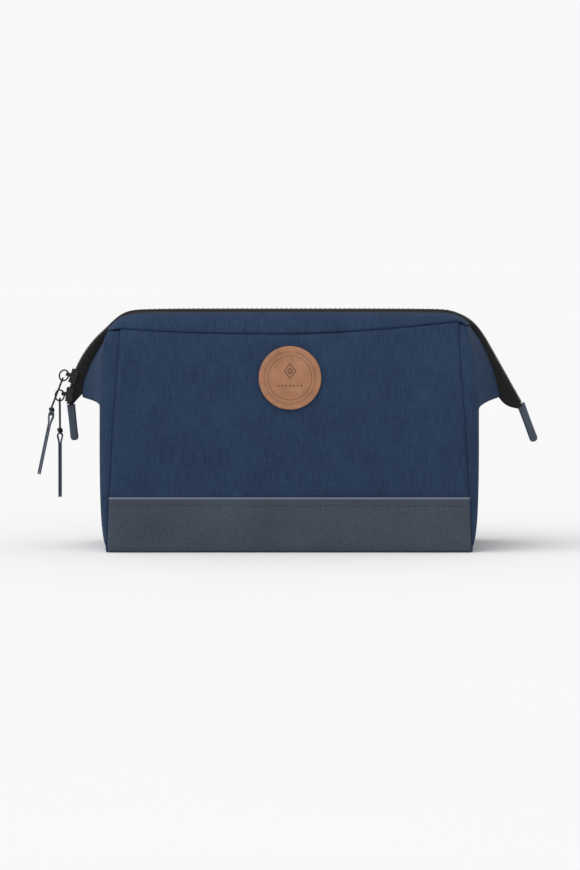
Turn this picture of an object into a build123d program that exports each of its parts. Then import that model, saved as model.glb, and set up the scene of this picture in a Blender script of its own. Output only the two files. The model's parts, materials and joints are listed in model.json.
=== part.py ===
from build123d import *

# Shaving kit bag: a soft wash bag with two hinged steel hoops at its mouth.
#
# Millimetres. +X is the bag's width, the front faces -Y, +Z is up. The origin is on the floor,
# under the middle of the base. The front half of the mouth is drawn, and the rear half mirrors it.

import os
from math import asin, cos, degrees, pi, radians, sin, tan

os.makedirs("parts", exist_ok=True)

# Driving dimensions
BODY_W = 260.0  # outside width of the body
BODY_D = 110.0  # outside depth of the body
CORNER_R = 8.0  # upright corners of the body
CLOTH = 1.4  # outer cloth, also the coated cloth of the base
LINING = 0.6
FOAM = 1.6
GAP = 0.3  # clear space between neighbouring layers
WALL_TOP = 98.0  # where the stiff lower walls end and the folding ones begin
TRIM_TOP = 36.0  # coated trim round the foot of the front and rear
SEAM_BOTTOM = 121.3  # half the width of a panel at the foot of the folding part
SEAM_TOP = 118.0  # and at the band's seam
SEAM_Z = 147.0  # height of the band's seam
TOP_Z = 165.0  # top of the zip
BAND_TOP_HALF = 103.0  # half the width of the band at the top

HINGE_X = 134.0  # hinge of the two hoops, from the middle
HINGE_Z = 106.0
HOOP_WIRE_R = 1.2
HOOP_ARMS = {"front": (-1, 134.8, 130.5), "rear": (1, 133.2, 129.5)}  # side, arm's x, shoulder's x
HOOP_BENDS = [6, 30, 20]
EYE_R = 3.6
EYE_T = 1.4
RIVET_R = 1.5
RIVET_PLAY = 0.05

# The zip's left run is an arc of a circle, its right run is straight
ARC_X, ARC_Z, ARC_R = -82.6, 96.1, 71.6
SLOPE_FOOT_X = 161.1  # the right run at WALL_TOP
SLOPE_DEG = 60.7
COIL_H = 2.0
COIL_HALF_W = 2.8
TAPE_W = 13.0  # from the zip's outer edge to the tape's inner edge
TAPE_T = 0.9
COIL_PLAY = 0.05  # half the clear space between the two rows of coil
TAPE_PLAY = 0.3
FIXED_TOP = 124.6  # the zip stays closed below this height
TWIST_Z = 155.0  # above this height the tape turns from upright to flat

SLIDER_LEN = 9.6
SLIDER_LOWER_DEG = 172.3  # rest places of the two sliders on the arc
SLIDER_UPPER_DEG = 161.7
BRIDGE_OUT = 4.9  # bridge bar, out from the coil's middle
BRIDGE_R = 0.6
RING_R = 3.5
RING_WIRE_R = 0.55
RING_DROP_DEG = 46.0  # the ring hangs this far off the slider's own line
CORD_D = 1.4
STRAP_W, STRAP_T, STRAP_LEN = 8.0, 2.6, 38.5
EYE_LEN = 6.0
KNOT_R, KNOT_H = 2.0, 3.4

BOARD_T = 2.0
FLOOR_TOP = CLOTH + GAP + BOARD_T + GAP + LINING
FACE = BODY_D / 2

BADGE_R = 21.5
BADGE_Z = 120.0
BADGE_LEAN = 11.5


def save(shape, node):
    """Write one node as a STEP file."""
    export_step(shape, f"parts/{node}.step")


def block(x0, x1, y0, y1, z0, z1):
    """A box between two corners."""
    size = Box(x1 - x0, y1 - y0, z1 - z0)
    return Pos((x0 + x1) / 2, (y0 + y1) / 2, (z0 + z1) / 2) * size


def strip(ribs):
    """A thin solid through straight ribs, each two ends and the vector of its thickness."""
    sections = []
    for start, end, wall in ribs:
        corners = [Vector(*start), Vector(*end), Vector(*end) + wall, Vector(*start) + wall]
        sections.append(Polyline(*corners, close=True).wire())
    return Solid.make_loft(sections, ruled=True)


def sheet(ribs):
    """A thin solid through bent ribs: one strip between each two neighbouring lines of bends."""
    strips = []
    for column in range(len(ribs[0][0]) - 1):
        strips.append(strip([(line[column], line[column + 1], Vector(*wall)) for line, wall in ribs]))
    return strips[0] if len(strips) == 1 else strips[0].fuse(*strips[1:])


def rear(shape):
    """The rear twin of a front piece."""
    return mirror(shape, Plane.XZ)


def prism(points, x0, x1):
    """A profile of (y, z) points carried along X."""
    outline = Polyline(*[(x0, y, z) for y, z in points], close=True)
    return Solid.extrude(Face(outline.wire()), Vector(x1 - x0, 0, 0))


def taper(z0, half0, z1, half1):
    """A block as deep as the bag whose width changes with height, to trim a piece's ends."""
    corners = [(-half0, 0, z0), (half0, 0, z0), (half1, 0, z1), (-half1, 0, z1)]
    face = Face(Polyline(*corners, close=True).wire())
    depth = Vector(0, 2 * BODY_D, 0)
    return Pos(0, -BODY_D, 0) * Solid.extrude(face, depth)


# The two runs of the zip


def left_run(degrees, inward=0.0, y=0.0):
    """A point on the left run, inward from its outer edge."""
    reach = ARC_R - inward
    turn = radians(degrees)
    return (ARC_X + reach * cos(turn), y, ARC_Z + reach * sin(turn))


def right_run(z, inward=0.0, y=0.0):
    """A point on the right run, inward from its outer edge."""
    lean = radians(SLOPE_DEG)
    x = SLOPE_FOOT_X - (z - WALL_TOP) / tan(lean)
    return (x - inward * sin(lean), y, z - inward * cos(lean))


def arc_degrees(z):
    """The place on the left run whose outer edge is at a height."""
    return 180.0 - degrees(asin((z - ARC_Z) / ARC_R))


def run_points(side, z, inwards, y):
    """Points across the tape on one run, at the height of its outer edge."""
    if side < 0:
        return [left_run(arc_degrees(z), inward, y) for inward in inwards]
    return [right_run(z, inward, y) for inward in inwards]


def run_ribs(side, heights, inwards, y, wall):
    """Cross-sections of a strip that follows one run."""
    return [(run_points(side, z, inwards, y), wall) for z in heights]


# Lower bag


def base_panel():
    outline = RectangleRounded(BODY_W - 6, BODY_D - 4, CORNER_R)
    return extrude(outline, CLOTH)


def base_board():
    outline = RectangleRounded(BODY_W - 16, BODY_D - 14, CORNER_R)
    return Pos(0, 0, CLOTH + GAP) * extrude(outline, BOARD_T)


def front_wall(y_out, thickness, half_width, z0, z1):
    """A flat upright layer of the front wall, y_out in from the front face."""
    y0 = -BODY_D / 2 + y_out
    return block(-half_width, half_width, y0, y0 + thickness, z0, z1)


def gusset(side):
    """Side wall with rounded corners, and the shelf under the folded ear."""
    seam = SEAM_BOTTOM + GAP
    outside = RectangleRounded(BODY_W, BODY_D, CORNER_R)
    inside = RectangleRounded(BODY_W - 2 * CLOTH, BODY_D - 2 * CLOTH, CORNER_R - CLOTH)
    end = Pos(side * (seam + BODY_W / 2), 0) * Rectangle(BODY_W, BODY_D)
    wall = Pos(0, 0, CLOTH) * extrude((outside - inside) & end, WALL_TOP - CLOTH)
    tip = run_points(side, WALL_TOP + 2, [TAPE_W + GAP], 0)[0][0]
    half = BODY_D / 2 - CORNER_R
    inner = side * (BODY_W / 2 - CLOTH)
    plan = Polyline((inner, -half), (tip, -4), (tip, 4), (inner, half), close=True)
    shelf = extrude(make_face(plan.edges()), CLOTH)
    return wall + Pos(0, 0, WALL_TOP - CLOTH) * shelf


def side_lining(side):
    x = BODY_W / 2 - CLOTH - GAP
    half = BODY_D / 2 - CORNER_R
    low, high = sorted((side * x, side * (x - LINING)))
    return block(low, high, -half, half, FLOOR_TOP, WALL_TOP - 3)


# Folding front, mirrored for the rear

PANEL_LINE = [(-54.3, WALL_TOP + 1.4), (-52.6, 112.0), (-48.4, 130.0), (-43.2, 146.0)]
BAND_LINE = [(-42.6, SEAM_Z), (-37.5, 155.0), (-32.0, 160.3), (-26.0, 163.0), (-20.0, 162.8)]
BAND_LINE.append((-TAPE_W - 1.3, 162.4))


def folded(line, thickness):
    """A closed profile from an outer line of (y, z) points and its thickness inwards."""
    inner = [(y + thickness * 0.8, z - thickness * 0.6) for y, z in reversed(line)]
    return list(line) + inner


def panel_upper():
    body = prism(folded(PANEL_LINE, CLOTH), -BODY_W / 2, BODY_W / 2)
    return body & taper(WALL_TOP - 2, SEAM_BOTTOM, SEAM_Z + 2, SEAM_TOP)


def band():
    body = prism(folded(BAND_LINE, CLOTH), -BODY_W / 2, BODY_W / 2)
    return body & taper(SEAM_Z - 3, SEAM_TOP, TOP_Z, BAND_TOP_HALF)


def ear_front(side):
    """Front half of the gusset's folding part, from the panel's seam round to the zip."""
    edge = TAPE_W + GAP
    low = WALL_TOP + 0.6
    seam = [(121.9, -53.6, low), (121.2, -52.0, 115), (119.9, -47.0, 133), (118.9, -41.5, 147.5)]
    corner = [(129.4, -48.0, low), (128.4, -46.5, 115), (125.6, -42.5, 133), (122.4, -37.5, 148)]
    ribs = []
    for start, bend in zip(seam, corner):
        z = min(bend[2] + 1, 147)
        end = run_points(side, z + 6, [edge], -1.4)[0]
        points = [(side * start[0], *start[1:]), (side * bend[0], *bend[1:]), end]
        ribs.append((points, (-side * 0.9, 0.9, 0)))
    top = [(side * 107.5, -27.0, 162.2), (side * 108.0, -22.0, 161.0), (side * 101.5, -14.0, 160.6)]
    ribs.append((top, (-side * 0.9, 0.9, -0.9)))
    return sheet(ribs)


def badge():
    disc = Cylinder(BADGE_R, 1.8)
    return Pos(0, -52.4, BADGE_Z) * Rot(90 - BADGE_LEAN, 0, 0) * disc


def hoop(name):
    """Round wire hoop with a flat eye at each end of its arms. The rear eyes lie inside the front ones."""
    y_side, arm_x, shoulder_x = HOOP_ARMS[name]
    rise = [(arm_x, 2.2, 111.5), (shoulder_x, 4.0, 119.0), (115.0, 15.0, 141.0), (97.0, 26.0, 159.6)]
    route = [(-x, y_side * y, z) for x, y, z in rise]
    route += [(x, y_side * y, z) for x, y, z in reversed(rise)]
    path = FilletPolyline(*route, radius=HOOP_BENDS + HOOP_BENDS[::-1])
    start = Plane(origin=path @ 0, z_dir=path % 0)
    wire = sweep(start * Circle(HOOP_WIRE_R), path=path)
    for side in (-1, 1):
        wire += eye(side, name == "front", y_side)
    return wire


def eye(side, outer, y_side):
    """Flat eye on the hinge axis, with its tang up to the wire."""
    near = HINGE_X + 0.1 if outer else HINGE_X - 0.1 - EYE_T
    ring = Circle(EYE_R) - Circle(RIVET_R + RIVET_PLAY)
    tang = Pos(y_side * 1.9, 4.6) * Rectangle(2.0, 6.0)
    disc = ring + (tang - Circle(RIVET_R + RIVET_PLAY))
    plate = extrude(Plane.YZ * disc, EYE_T)
    x = near if side > 0 else -near - EYE_T
    return Pos(x, 0, HINGE_Z) * plate


def hinge_rivet(side):
    """Rivet through both eyes, a head at each end."""
    reach = EYE_T + 0.2
    shank = Cylinder(RIVET_R, 2 * reach + 0.2)
    head = Cylinder(RIVET_R + 1.2, 0.8)
    heads = Pos(0, 0, reach + 0.4) * head + Pos(0, 0, -reach - 0.4) * head
    return Pos(side * HINGE_X, 0, HINGE_Z) * Rot(0, 90, 0) * (shank + heads)


def zip_tape_front():
    """Moving half of the zip's tape: upright on the runs, flat along the top."""
    inwards = [COIL_H, TAPE_W]
    upright = (0, -TAPE_T, 0)
    heights = [FIXED_TOP + GAP, 132, 139, 146, 151, TWIST_Z - 2]
    left = run_ribs(-1, heights, inwards, -TAPE_PLAY, upright)
    right = run_ribs(1, heights, inwards, -TAPE_PLAY, upright)
    z = TOP_Z - COIL_H - TAPE_T
    flat = [(x, z) for x in (-98, 98)]
    top = [([(x, -TAPE_PLAY, z), (x, -TAPE_W, z)], (0, 0, TAPE_T)) for x, z in flat]
    return sheet(left + top + right[::-1])


def zip_coil_front():
    """Moving half of the zip's coil."""
    wall = (0, -(COIL_HALF_W - COIL_PLAY), 0)
    heights = [FIXED_TOP + GAP, 132, 139, 146, 151, TWIST_Z - 2]
    left = run_ribs(-1, heights, [0, COIL_H], -COIL_PLAY, wall)
    right = run_ribs(1, heights, [0, COIL_H], -COIL_PLAY, wall)
    corners = [(-110, TOP_Z - 3.2), (-98, TOP_Z), (104, TOP_Z), (114, TOP_Z - 3.0)]
    top = [([(x, -COIL_PLAY, z), (x, -COIL_PLAY, z - COIL_H)], wall) for x, z in corners]
    return sheet(left + top + right[::-1])


def zip_end_tape(side):
    """Closed end of the zip's two tapes, below the point where they part."""
    heights = [WALL_TOP, 106, 115, FIXED_TOP]
    half = sheet(run_ribs(side, heights, [COIL_H, TAPE_W], -TAPE_PLAY, (0, -TAPE_T, 0)))
    half -= block(-BODY_W, BODY_W, -FACE, FACE, 0, WALL_TOP + 0.4)
    return Compound([half, rear(half)])


def zip_end_coil(side):
    wall = (0, -(COIL_HALF_W - COIL_PLAY), 0)
    heights = [WALL_TOP + 2.6, 106, 115, FIXED_TOP]
    half = sheet(run_ribs(side, heights, [0, COIL_H], -COIL_PLAY, wall))
    return Compound([half, rear(half)])


def zip_stop(side):
    """Metal clip that ends the coil."""
    heights = [WALL_TOP + 1.2, WALL_TOP + 2.4]
    wall = (0, 2 * COIL_HALF_W, 0)
    return sheet(run_ribs(side, heights, [-0.3, COIL_H], -COIL_HALF_W, wall))


def tab(side):
    """Folded tab of coated cloth under the end of the zip."""
    length, tilt, x = (20.0, -8.5, -149.6) if side < 0 else (27.0, -19.0, 159.8)
    body = Pos(0, 0, -length / 2) * Box(6.4, 2.6, length)
    body = fillet(body.edges().filter_by(Axis.Y).sort_by(Axis.Z)[:2], 2.5)
    return Pos(x, 0, WALL_TOP - 1.0) * Rot(0, tilt, 0) * body


# Sliders, rings and pulls


def on_arc(degrees):
    """Placement of a piece drawn at the coil's middle, with the outside of the bag at -X."""
    centre = Pos(ARC_X, 0, ARC_Z)
    return centre * Rot(0, 180 - degrees, 0) * Pos(-(ARC_R - COIL_H / 2), 0, 0)


def slider():
    """Slider body that wraps the coil, with the bridge that holds its ring."""
    half = SLIDER_LEN / 2
    plate = block(-2.4, -1.4, -4.4, 4.4, -half, half)
    walls = block(-1.4, 1.4, 3.3, 4.4, -half, half) + block(-1.4, 1.4, -4.4, -3.3, -half, half)
    lips = block(1.4, 2.4, 1.6, 4.4, -half, half) + block(1.4, 2.4, -4.4, -1.6, -half, half)
    bar = Pos(-BRIDGE_OUT, 0, 0) * Rot(90, 0, 0) * Cylinder(BRIDGE_R, 6.0)
    posts = block(-5.5, -2.4, 2.0, 3.0, -1.2, 1.2) + block(-5.5, -2.4, -3.0, -2.0, -1.2, 1.2)
    return plate + walls + lips + bar + posts


def bar_point(degrees):
    """Middle of the slider's bridge bar."""
    return Vector(*left_run(degrees, COIL_H / 2 - BRIDGE_OUT))


def ring_centre(degrees):
    """The ring hangs on the bar and stands off the slider's plate."""
    turn = radians(degrees)
    outward = Vector(cos(turn), 0, sin(turn))
    down = Vector(-sin(turn), 0, cos(turn))
    drop = radians(RING_DROP_DEG)
    hang = RING_R - RING_WIRE_R - BRIDGE_R - 0.05
    return bar_point(degrees) + (down * cos(drop) + outward * sin(drop)) * hang


def ring(degrees):
    centre = ring_centre(degrees)
    return Pos(*centre) * Rot(90, 0, 0) * Torus(RING_R, RING_WIRE_R)


def cord_route(top, knot):
    """Route of the doubled cord: up from the knot, over the ring's wire and down again."""
    down = (knot - top).normalized()
    across = Vector(0, CORD_D * 0.6, 0)
    bow = Vector(0, CORD_D * 1.5, 0)
    close = Vector(0, CORD_D / 2 + 0.05, 0)
    neck = top + down * 4.0
    fold = top - down * CORD_D
    return [knot + close, neck + across, fold + bow, fold - bow, neck - across, knot - close]


def bend_radii(route):
    """Each bend is as large as its two runs allow."""
    radii = []
    for before, here, after in zip(route, route[1:], route[2:]):
        turn = radians((here - before).get_angle(after - here))
        shorter = min((here - before).length, (after - here).length)
        radii.append(0.45 * shorter / tan(turn / 2))
    return radii


def cord(top, knot):
    route = cord_route(top, knot)
    radii = bend_radii(route)
    path = FilletPolyline(*route, radius=radii)
    start = Plane(origin=path @ 0, z_dir=path % 0)
    tube = sweep(start * Circle(CORD_D / 2), path=path)
    share = tube.volume / (pi * CORD_D**2 / 4 * path.length)
    print("cord bends", [round(r, 1) for r in radii], "length", round(path.length, 1), round(share, 3))
    return tube


def cord_knot(knot):
    body = fillet(Cylinder(KNOT_R, KNOT_H).edges(), 1.2)
    return Pos(*knot) * Pos(0, 0, -KNOT_H / 2) * body


def pull_strap(knot, lean_deg, pitch_deg):
    """Two-ply strap with a teardrop eye at its top, edge to the front, pitched forwards."""
    eye_top = Pos(0, -2.1) * Circle(2.1)
    neck = Pos(0, -EYE_LEN - 3.5) * Rectangle(STRAP_T, 1)
    outer = make_hull(eye_top.edges() + neck.edges())
    hole = make_hull((Pos(0, -2.2) * Circle(1.0)).edges() + (Pos(0, -EYE_LEN) * Circle(0.3)).edges())
    length = EYE_LEN + STRAP_LEN
    blade = Pos(0, -(EYE_LEN + 3.0 + length) / 2) * Rectangle(STRAP_T, length - EYE_LEN - 3.0)
    side = extrude(Plane.XZ * (outer + blade - hole), STRAP_W / 2, both=True)
    outline = Pos(0, -length / 2) * RectangleRounded(STRAP_W, length, STRAP_W / 2 - 0.5)
    body = side & extrude(Plane.YZ * outline, 10, both=True)
    gap = 0.1 + 1.6 * sin(radians(pitch_deg))
    return Pos(*knot) * Pos(0, 0, -KNOT_H - gap) * Rot(0, lean_deg, 0) * Rot(-pitch_deg, 0, 0) * body


def pull(name, slider_deg, swing_deg, lean_deg, pitch_deg, cord_len, aside):
    """One slider with its ring, cord, knot and strap. aside moves the strap forwards or back."""
    save(on_arc(slider_deg) * slider(), f"slider_{name}")
    save(ring(slider_deg), f"pull_ring_{name}")
    swing = radians(swing_deg)
    down = Vector(-sin(swing), 0, -cos(swing))
    top = ring_centre(slider_deg) + down * RING_R
    knot = top + down * cord_len + Vector(0, aside, 0)
    save(cord(top, knot), f"pull_cord_{name}")
    save(cord_knot(knot), f"cord_knot_{name}")
    save(pull_strap(knot, lean_deg, pitch_deg), f"pull_strap_{name}")
    axes = {"bar": bar_point(slider_deg), "top of cord": top, "knot": knot}
    print(name, {key: [round(v, 3) for v in point] for key, point in axes.items()})
    print("route", [[round(v, 2) for v in point] for point in cord_route(top, knot)])


save(base_panel(), "base_panel")
save(base_board(), "base_board")
base_lining = Rectangle(BODY_W - 2 * CLOTH - 2 * GAP - 2, BODY_D - 10)
save(Pos(0, 0, FLOOR_TOP - LINING) * extrude(base_lining, LINING), "lining_base")

trim = front_wall(-0.5, CLOTH, SEAM_BOTTOM, CLOTH, TRIM_TOP)
panel = front_wall(0.0, CLOTH, SEAM_BOTTOM, TRIM_TOP, WALL_TOP)
foam = front_wall(CLOTH + GAP, FOAM, SEAM_TOP, FLOOR_TOP, WALL_TOP - 2)
lining = front_wall(CLOTH + FOAM + 2 * GAP, LINING, SEAM_BOTTOM, FLOOR_TOP, WALL_TOP - 2)
layers = {"trim": trim, "panel": panel, "foam": foam, "lining": lining}
folding = {"panel_upper": panel_upper(), "band": band(), "zip_tape": zip_tape_front()}
folding["zip_coil"] = zip_coil_front()
for name, piece in {**layers, **folding}.items():
    save(piece, f"front_{name}")
    save(rear(piece), f"rear_{name}")

save(badge(), "badge")
save(hoop("front"), "front_hoop")
save(hoop("rear"), "rear_hoop")

for side, word in ((-1, "left"), (1, "right")):
    save(gusset(side), f"{word}_gusset")
    save(side_lining(side), f"{word}_lining")
    ear = ear_front(side)
    save(ear, f"{word}_ear_front")
    save(rear(ear), f"{word}_ear_rear")
    save(hinge_rivet(side), f"hinge_rivet_{word}")
    save(zip_end_tape(side), f"zip_end_{word}")
    save(zip_end_coil(side), f"zip_end_coil_{word}")
    save(zip_stop(side), f"zip_stop_{word}")
    save(tab(side), f"tab_{word}")

pull("lower", SLIDER_LOWER_DEG, 0.0, 0.0, 0.0, 19.3, 4.6)
pull("upper", SLIDER_UPPER_DEG, 21.0, 11.5, 22.0, 19.7, -8.0)
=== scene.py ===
# %% [markdown]
# # A framed wash bag
# The bag is soft cloth over a stiff frame. The frame file holds its real sizes, joints and bodies, and
# this lesson sews the cloth, the zip and the pulls around it. Everything is in metres, the front of
# the bag looks along -Y, and each finished piece keeps its place in its own mesh.

import json

import bpy
import numpy as np
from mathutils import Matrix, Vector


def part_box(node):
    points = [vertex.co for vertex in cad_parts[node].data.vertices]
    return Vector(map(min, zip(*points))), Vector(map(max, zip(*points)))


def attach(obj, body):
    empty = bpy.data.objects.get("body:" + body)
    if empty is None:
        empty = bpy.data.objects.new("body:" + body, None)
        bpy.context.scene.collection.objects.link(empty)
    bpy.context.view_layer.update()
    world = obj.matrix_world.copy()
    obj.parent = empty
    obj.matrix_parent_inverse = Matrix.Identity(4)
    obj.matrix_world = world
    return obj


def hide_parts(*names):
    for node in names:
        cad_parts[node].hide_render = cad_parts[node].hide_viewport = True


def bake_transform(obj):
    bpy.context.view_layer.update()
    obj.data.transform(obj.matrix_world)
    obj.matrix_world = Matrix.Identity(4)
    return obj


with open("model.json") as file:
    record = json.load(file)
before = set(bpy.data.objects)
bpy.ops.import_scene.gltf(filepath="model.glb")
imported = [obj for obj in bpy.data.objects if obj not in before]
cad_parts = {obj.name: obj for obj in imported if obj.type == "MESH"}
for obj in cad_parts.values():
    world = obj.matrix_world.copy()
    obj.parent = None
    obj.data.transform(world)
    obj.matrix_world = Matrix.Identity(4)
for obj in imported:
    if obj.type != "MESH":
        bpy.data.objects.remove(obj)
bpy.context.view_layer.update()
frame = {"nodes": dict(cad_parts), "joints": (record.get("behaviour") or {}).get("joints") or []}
MM = 0.001
FRONT, BACK = -1, 1
LEFT, RIGHT = -1, 1

# %% [markdown]
# ## Where the camera stands
# A long lens looks straight at the front from a little above the base, so that upright lines stay
# upright. The lens and the width that it takes in give the distance. A short lens would make the zip,
# which lies behind the front, look smaller than it is.

# %% Camera
LENS = 500.0  # millimetres
SENSOR = 36.0
VIEW_WIDTH = 0.3990  # width seen at the front of the bag
CAMERA_RISE = np.radians(4.0)
AIM = np.array([0.0005, -0.050, 0.0808])

camera_data = bpy.data.cameras.new("camera")
camera_data.lens = LENS
camera_data.sensor_fit = "HORIZONTAL"
camera_data.sensor_width = SENSOR
camera = bpy.data.objects.new("camera", camera_data)
distance = VIEW_WIDTH * LENS / SENSOR
camera.location = AIM + distance * np.array([0, -np.cos(CAMERA_RISE), np.sin(CAMERA_RISE)])
camera.rotation_euler = (np.pi / 2 - CAMERA_RISE, 0, 0)
camera_data.clip_end = 200.0
bpy.context.scene.collection.objects.link(camera)
bpy.context.scene.camera = camera
print("camera stands", round(distance, 3), "m away")

# %% [markdown]
# ## One small class for shader maths
# A material is a formula. Wrapping a socket in a class with + - * / lets the formula be written as
# Python, and each operator adds its own Math node. Any other node comes from one method, `add`, that
# takes the node's type, its settings and the values or links of its sockets.


# %% Shader helper
class Value:
    """A socket that can be used in sums."""

    def __init__(self, tree, socket):
        self.tree, self.socket = tree, socket

    def join(self, operation, *others):
        node = self.tree.nodes.new("ShaderNodeMath")
        node.operation = operation
        for socket, item in zip(node.inputs, others):
            plug(self.tree, socket, item)
        return Value(self.tree, node.outputs[0])

    def __add__(self, other):
        return self.join("ADD", self, other)

    def __radd__(self, other):
        return self.join("ADD", other, self)

    def __sub__(self, other):
        return self.join("SUBTRACT", self, other)

    def __rsub__(self, other):
        return self.join("SUBTRACT", other, self)

    def __mul__(self, other):
        return self.join("MULTIPLY", self, other)

    def __rmul__(self, other):
        return self.join("MULTIPLY", other, self)

    def __truediv__(self, other):
        return self.join("DIVIDE", self, other)

    def sine(self):
        return self.join("SINE", self)

    def power(self, exponent):
        return self.join("POWER", self, exponent)

    def above(self, edge):
        return self.join("GREATER_THAN", self, edge)

    def largest(self, other):
        return self.join("MAXIMUM", self, other)

    def smallest(self, other):
        return self.join("MINIMUM", self, other)

    def size(self):
        return self.join("ABSOLUTE", self)


def plug(tree, socket, item):
    """Link a Value to a socket, or set the socket's own value."""
    if isinstance(item, Value):
        tree.links.new(item.socket, socket)
    else:
        socket.default_value = item


class Finish:
    """A node material under construction."""

    def __init__(self, name):
        self.material = bpy.data.materials.new(name)
        self.material.use_nodes = True
        self.tree = self.material.node_tree
        self.tree.nodes.clear()

    def add(self, kind, settings=None, output=0, **inputs):
        """A node of any kind: settings first, then inputs by socket name with _ for a space."""
        node = self.tree.nodes.new("ShaderNode" + kind)
        for key, item in (settings or {}).items():
            setattr(node, key, item)
        for key, item in inputs.items():
            plug(self.tree, node.inputs[key.replace("_", " ")], item)
        return Value(self.tree, node.outputs[output]) if len(node.outputs) else None

    def axes(self, vector):
        """The three numbers of a vector."""
        node = self.add("SeparateXYZ", Vector=vector).socket.node
        return [Value(self.tree, socket) for socket in node.outputs]

    def noise(self, vector, scale, detail=3.0, roughness=0.5):
        return self.add("TexNoise", Vector=vector, Scale=scale, Detail=detail, Roughness=roughness)

    def mix(self, share, first, second):
        """One colour fading to another as share goes from 0 to 1."""
        node = self.add("Mix", {"data_type": "RGBA"}).socket.node
        plug(self.tree, node.inputs[0], share)
        plug(self.tree, node.inputs[6], first)
        plug(self.tree, node.inputs[7], second)
        return Value(self.tree, node.outputs[2])

    def bump(self, height, distance, strength=1.0, **more):
        return self.add("Bump", Height=height, Distance=distance, Strength=strength, **more)

    def done(self, **surface):
        """Finish with a Principled shader."""
        shader = self.add("BsdfPrincipled", **surface)
        self.add("OutputMaterial", Surface=shader)
        return self.material


def rgb(red, green, blue):
    """A colour given as screen numbers from 0 to 255, as the linear light a shader wants."""
    c = np.array([red, green, blue]) / 255.0
    linear = np.where(c <= 0.04045, c / 12.92, ((c + 0.055) / 1.055) ** 2.4)
    return (*linear.tolist(), 1.0)


print("shader helper ready")

# %% [markdown]
# ## Cloth that is sewn from a net
# A sewn panel is a smooth surface that follows a few measured points. A B-spline surface does just
# that: a small net of points pulls a fine grid into shape, and a tight group of points makes a crease.
# The grid's arc lengths become its UV map in metres, so a weave keeps its size wherever cloth bends.


# %% Surface helpers
def share_of(part, whole):
    """part / whole, and 0 where the whole is 0."""
    return np.divide(part, whole, where=whole > 0, out=np.zeros(np.broadcast(part, whole).shape))


def basis(count, samples, degree=3):
    """B-spline weights: row s holds how much each of count net points pulls on sample s."""
    knots = np.concatenate([np.zeros(degree), np.linspace(0, 1, count - degree + 1), np.ones(degree)])
    t = np.clip(np.linspace(0, 1, samples), 0, 1 - 1e-9)[:, None]
    weights = ((knots[:-1] <= t) & (t < knots[1:])).astype(float)
    for d in range(1, degree + 1):
        low, high = knots[: -d - 1], knots[d + 1 :]
        rise = share_of(t - low, knots[d:-1] - low)
        fall = share_of(high - t, high - knots[1:-d])
        weights = rise * weights[:, :-1] + fall * weights[:, 1:]
    return weights


def surface(net, rows, columns):
    """A fine grid (rows x columns x 3) pulled into shape by a net of points."""
    net = np.asarray(net, float)
    along = basis(net.shape[0], rows, min(3, net.shape[0] - 1))
    across = basis(net.shape[1], columns, min(3, net.shape[1] - 1))
    return np.einsum("ai,bj,ijk->abk", along, across, net)


def curve(points, samples):
    """A fine line pulled into shape by a few points."""
    points = np.asarray(points, float)
    return basis(len(points), samples, min(3, len(points) - 1)) @ points


def unit(vectors):
    return vectors / np.maximum(np.linalg.norm(vectors, axis=-1, keepdims=True), 1e-12)


def normals_of(grid):
    """The grid's normals: the cross product of its two directions."""
    return unit(np.cross(np.gradient(grid, axis=0), np.gradient(grid, axis=1)))


def lengths(grid, axis):
    """Running length of the grid's lines along one axis, in metres."""
    steps = np.linalg.norm(np.diff(grid, axis=axis), axis=-1)
    pad = [(1, 0), (0, 0)] if axis == 0 else [(0, 0), (1, 0)]
    return np.pad(np.cumsum(steps, axis=axis), pad)


def link(mesh, name):
    piece = bpy.data.objects.new(name, mesh)
    bpy.context.scene.collection.objects.link(piece)
    return piece


def build(name, points, faces, uv=None):
    """A smooth mesh object from points and faces, with a place on the cloth given for each point."""
    mesh = bpy.data.meshes.new(name)
    mesh.from_pydata(points.tolist(), [], faces if isinstance(faces, list) else faces.tolist())
    if uv is not None:
        layer = mesh.uv_layers.new(name="cloth")
        layer.data.foreach_set("uv", uv[faces.ravel()].astype(np.float32).ravel())
    mesh.polygons.foreach_set("use_smooth", np.full(len(faces), True))
    mesh.update()
    return link(mesh, name)


def quads(rows, columns, wrap_rows=False, wrap_columns=False):
    """Faces of a grid whose points are numbered row by row."""
    numbers = np.arange(rows * columns).reshape(rows, columns)
    if wrap_rows:
        numbers = np.vstack([numbers, numbers[:1]])
    if wrap_columns:
        numbers = np.hstack([numbers, numbers[:, :1]])
    a, b = numbers[:-1, :-1], numbers[1:, :-1]
    c, d = numbers[1:, 1:], numbers[:-1, 1:]
    return np.stack([a, b, c, d], -1).reshape(-1, 4)


def cloth(name, grid, outward, thickness):
    """Cloth from a grid, facing outward, with its thickness added on the inside."""
    middle = normals_of(grid)[grid.shape[0] // 2, grid.shape[1] // 2]
    if np.dot(middle, outward) < 0:
        grid = grid[:, ::-1]
    uv = np.stack([lengths(grid, 1), lengths(grid, 0)], -1)
    piece = build(name, grid.reshape(-1, 3), quads(*grid.shape[:2]), uv.reshape(-1, 2))
    solid = piece.modifiers.new("thickness", "SOLIDIFY")
    solid.thickness = thickness
    solid.offset = -1
    return piece


def facing(grid, outward):
    """The grid's normals, all on its outward side."""
    normal = normals_of(grid)
    flip = np.sign(np.dot(normal[grid.shape[0] // 2, grid.shape[1] // 2], outward))
    return normal * flip


def scatter(name, shape, faces, places, frames):
    """One mesh of many small copies: each copy is shape (k x 3) in its own frame at its place."""
    points = np.einsum("kj,nji->nki", shape, frames) + places[:, None, :]
    every = faces[None] + (np.arange(len(places)) * len(shape))[:, None, None]
    return build(name, points.reshape(-1, 3), every.reshape(-1, faces.shape[1]))


print("surface helpers ready")

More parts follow.
